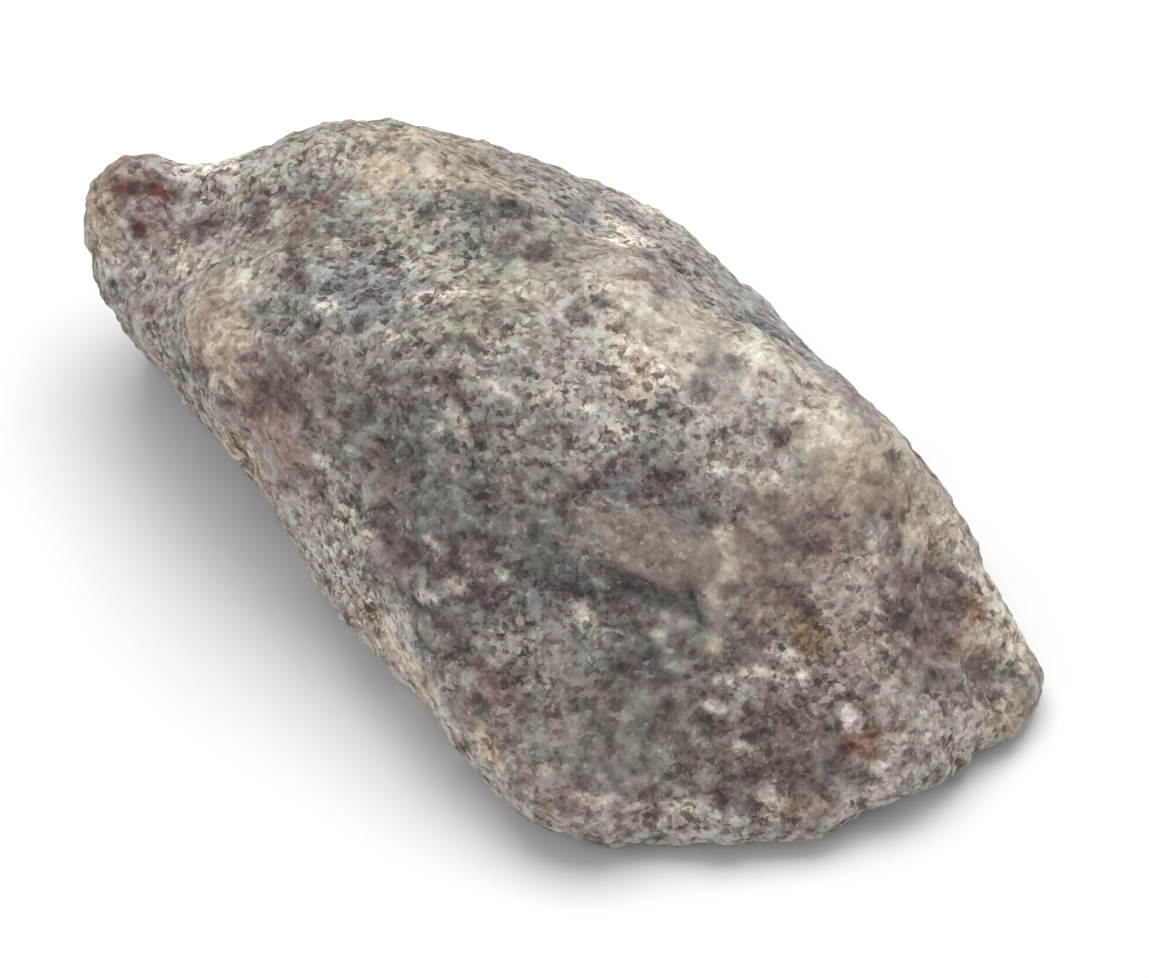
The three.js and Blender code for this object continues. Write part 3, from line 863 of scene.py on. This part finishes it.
def stone_material(colours):
    """The grainy stone: stored stains, with painted shade and light among them, under cloudy tones and
    mineral grains; painted shade in the cracks; and garnets on the knob.
    """
    material = bpy.data.materials.new("stone")
    material.use_nodes = True
    material.node_tree.nodes.clear()
    tree = Tree(material.node_tree)
    place = tree.add("ShaderNodeTexCoord", output="Object")
    crack = tree.stored("crack").other("Fac")
    calm = tree.stored("calm").other("Fac")
    knob = tree.stored("knob").other("Fac")
    mottle = mottles(tree, place)
    blotch = blotches(tree, place)
    grain = grains(tree, place)
    angular = tree.shaken(place, **CRYSTAL_SHAKE)
    crystals = tree.cells(angular, CRYSTAL_WIDTH).other("Color")
    crystal = tree.dot(crystals, RED_CHANNEL) - NOISE_MIDDLE
    crumb = tree.dot(tree.cells(angular, CRUMB_WIDTH).other("Color"), RED_CHANNEL) - NOISE_MIDDLE

    hue = tree.clouds(place, **HUES)
    dusky = tree.step(hue + blotch * DUSKY_BLOTCHES, *DUSKY_STEP) * DUSKY_STRENGTH
    colour = tree.mix(dusky, tree.stored("stain"), (*colours.purple_grey, 1))

    crispness = 1 + tree.clouds(place, **CRISP_AREAS) * CRISP_CHANGE
    crisp = (crystal * CRYSTAL_TONE + crumb * CRUMB_TONE) * crispness
    soft = tree.clouds(place, **WIDE_CLOUDS) * CLOUD_TONE + mottle * MOTTLE_TONE + blotch * BLOTCH_TONE
    tone = (soft + grain * GRAIN_TONE + crisp) * (1 - calm * CALM_TONE)
    colour = tree.scaled(colour, (tone - tone * tone * TONE_BEND).exp())
    specks = tree.step(crystal + blotch * SPECK_BLOTCHES, *SPECK_STEP)
    colour = tree.mix(specks * (SPECK_STRENGTH - calm * CALM_SPECKS), colour, (*colours.speck, 1))
    flecks = tree.step(crumb + blotch * FLECK_BLOTCHES, *FLECK_STEP)
    colour = tree.mix(flecks * FLECK_STRENGTH, colour, (*colours.white, 1))
    # painted shade in the cracks: they darken towards the speck colour
    colour = tree.mix(crack * CRACK_PAINTED_SHADE, colour, (*colours.speck, 1))
    tint = tree.vector("ADD", WHITE, tree.scaled(HUE_TINT, hue * (1 - calm * CALM_HUE)))
    tint = tree.vector("ADD", tint, tree.scaled(TONE_TINT, tone))
    colour = tree.vector("MULTIPLY", colour, tint)

    redness = tree.dot(crystals, GREEN_CHANNEL) + mottle * GARNET_MOTTLES + blotch
    garnets = knob * tree.step(redness, *GARNET_STEP)
    colour = tree.mix(garnets * GARNET_STRENGTH, colour, (*colours.garnet, 1))

    bump = tree.add("ShaderNodeBump", {}, {
        "Strength": BUMP_STRENGTH, "Distance": BUMP_HEIGHT, "Height": grain + crumb * BUMP_CRUMBS})
    shader = tree.add("ShaderNodeBsdfPrincipled", {}, {
        "Base Color": colour, "Roughness": MATT_ROUGHNESS - garnets * GARNET_GLOSS, "Normal": bump})
    tree.add("ShaderNodeOutputMaterial", {}, {"Surface": shader})
    return material


def photo_marks(view, rock):
    """The marks read from the photograph, placed on the rock."""
    stains = [(place, STAIN_SOFTNESS, shade, strength) for _, *place, shade, strength in STAINS_AND_PAINTED_LIGHT]
    for kinds, softness in ((SHADES, STAIN_SOFTNESS), (SPOTS_AND_PAINTED_SHADE, SPOT_SOFTNESS)):
        for _, shade, strength, regions in kinds:
            for places in regions.values():
                stains += [(place, softness, shade, strength) for place in places]
    return {
        "cracks": [[view.spot(rock, pixel) for pixel in pixels] for _, pixels in CRACKS],
        "forms": [(view.patch(rock, *place), height) for _, *place, height in FORMS],
        "stains": [(view.patch(rock, *place), *look) for place, *look in stains],
        "towards": view.towards,
        "calm": [view.patch(rock, *place) for place in CALM_PATCHES],
        "knob": [view.patch(rock, *KNOB)],
    }


class ROCK_OT_surface(bpy.types.Operator):
    """Makes the rock's broken, grainy surface."""

    bl_idname = "rough_rock.surface"
    bl_label = "Rock Surface"

    def execute(self, context):
        scene = context.scene
        piece = new_piece(ROCK_PIECE, merged_copy(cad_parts[ROCK_NODE]))
        context.view_layer.update()
        corners = [vertex.co for vertex in piece.data.vertices]
        view = PhotoView(corners, scene.rock_stage.camera_distance)
        group = surface_tree(photo_marks(view, piece), scene.rock_colours)
        shape_surface(piece, group, scene.rock_surface, stone_material(scene.rock_colours))
        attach(piece, "root")
        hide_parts(ROCK_NODE)
        return {"FINISHED"}


# Stage

def plain_material(name, colour):
    """A matt material of one colour."""
    material = bpy.data.materials.new(name)
    material.use_nodes = True
    shader = material.node_tree.nodes["Principled BSDF"]
    shader.inputs["Base Color"].default_value = (*colour, 1)
    shader.inputs["Roughness"].default_value = MATT_ROUGHNESS
    return material


def soft_lamp(name, place, size, power):
    """A large square lamp that faces the rock and isn't seen itself."""
    lamp = bpy.data.lights.new(name, "AREA")
    lamp.size = size
    lamp.energy = power
    holder = bpy.data.objects.new(name, lamp)
    holder.location = place
    holder.rotation_euler = (-Vector(place)).to_track_quat("-Z", "Y").to_euler()
    holder.visible_camera = False
    bpy.context.scene.collection.objects.link(holder)


class ROCK_OT_stage(bpy.types.Operator):
    """Makes the floor, the lights and the camera."""

    bl_idname = "rough_rock.stage"
    bl_label = "Stage"

    def execute(self, context):
        scene = context.scene
        settings = scene.rock_stage
        half = settings.floor_size / 2
        mesh = bpy.data.meshes.new("floor")
        mesh.from_pydata([(-half, -half, 0), (half, -half, 0), (half, half, 0), (-half, half, 0)], [],
                         [(0, 1, 2, 3)])
        mesh.materials.append(plain_material("floor", settings.floor_colour))
        floor = new_piece("floor", mesh)

        world = bpy.data.worlds.new("studio")
        world.use_nodes = True
        sky = world.node_tree.nodes["Background"]
        sky.inputs["Color"].default_value = (*WHITE, 1)
        sky.inputs["Strength"].default_value = settings.sky_strength
        scene.world = world
        soft_lamp("key", settings.key_place, settings.key_size, settings.key_power)
        soft_lamp("fill", settings.fill_place, settings.fill_size, settings.fill_power)

        corners = [vertex.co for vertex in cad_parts[ROCK_NODE].data.vertices]
        view = PhotoView(corners, settings.camera_distance)
        camera = bpy.data.cameras.new("camera")
        camera.sensor_width = settings.sensor_width
        camera.lens = settings.sensor_width * settings.camera_distance / (IMAGE_WIDTH * PIXEL)
        camera.clip_end = FAR_CLIP * settings.camera_distance
        holder = bpy.data.objects.new("camera", camera)
        holder.location = view.place
        holder.rotation_euler = (math.pi / 2 - VIEW_ELEVATION, 0, 0)
        scene.collection.objects.link(holder)
        scene.camera = holder
        scene.view_settings.view_transform = "Standard"
        return {"FINISHED"}


class ROCK_PT_sidebar(bpy.types.Panel):
    """Lists the steps that make the rock and its stage."""

    bl_label = "Rough Rock"
    bl_space_type = "VIEW_3D"
    bl_region_type = "UI"
    bl_category = "Rough Rock"

    def draw(self, context):
        scene = context.scene
        steps = (([scene.rock_colours, scene.rock_surface], ROCK_OT_surface),
                 ([scene.rock_stage], ROCK_OT_stage))
        for groups, operator in steps:
            for group in groups:
                for name in group.__annotations__:
                    self.layout.prop(group, name)
            self.layout.operator(operator.bl_idname)


CLASSES = (RockColourSettings, RockSurfaceSettings, StageSettings, ROCK_OT_surface, ROCK_OT_stage,
           ROCK_PT_sidebar)


def register():
    for each in CLASSES:
        bpy.utils.register_class(each)
    bpy.types.Scene.rock_colours = PointerProperty(type=RockColourSettings)
    bpy.types.Scene.rock_surface = PointerProperty(type=RockSurfaceSettings)
    bpy.types.Scene.rock_stage = PointerProperty(type=StageSettings)


def unregister():
    del bpy.types.Scene.rock_stage
    del bpy.types.Scene.rock_surface
    del bpy.types.Scene.rock_colours
    for each in reversed(CLASSES):
        bpy.utils.unregister_class(each)


def main():
    register()
    bpy.ops.rough_rock.surface()
    bpy.ops.rough_rock.stage()


if __name__ == "__main__":
    main()
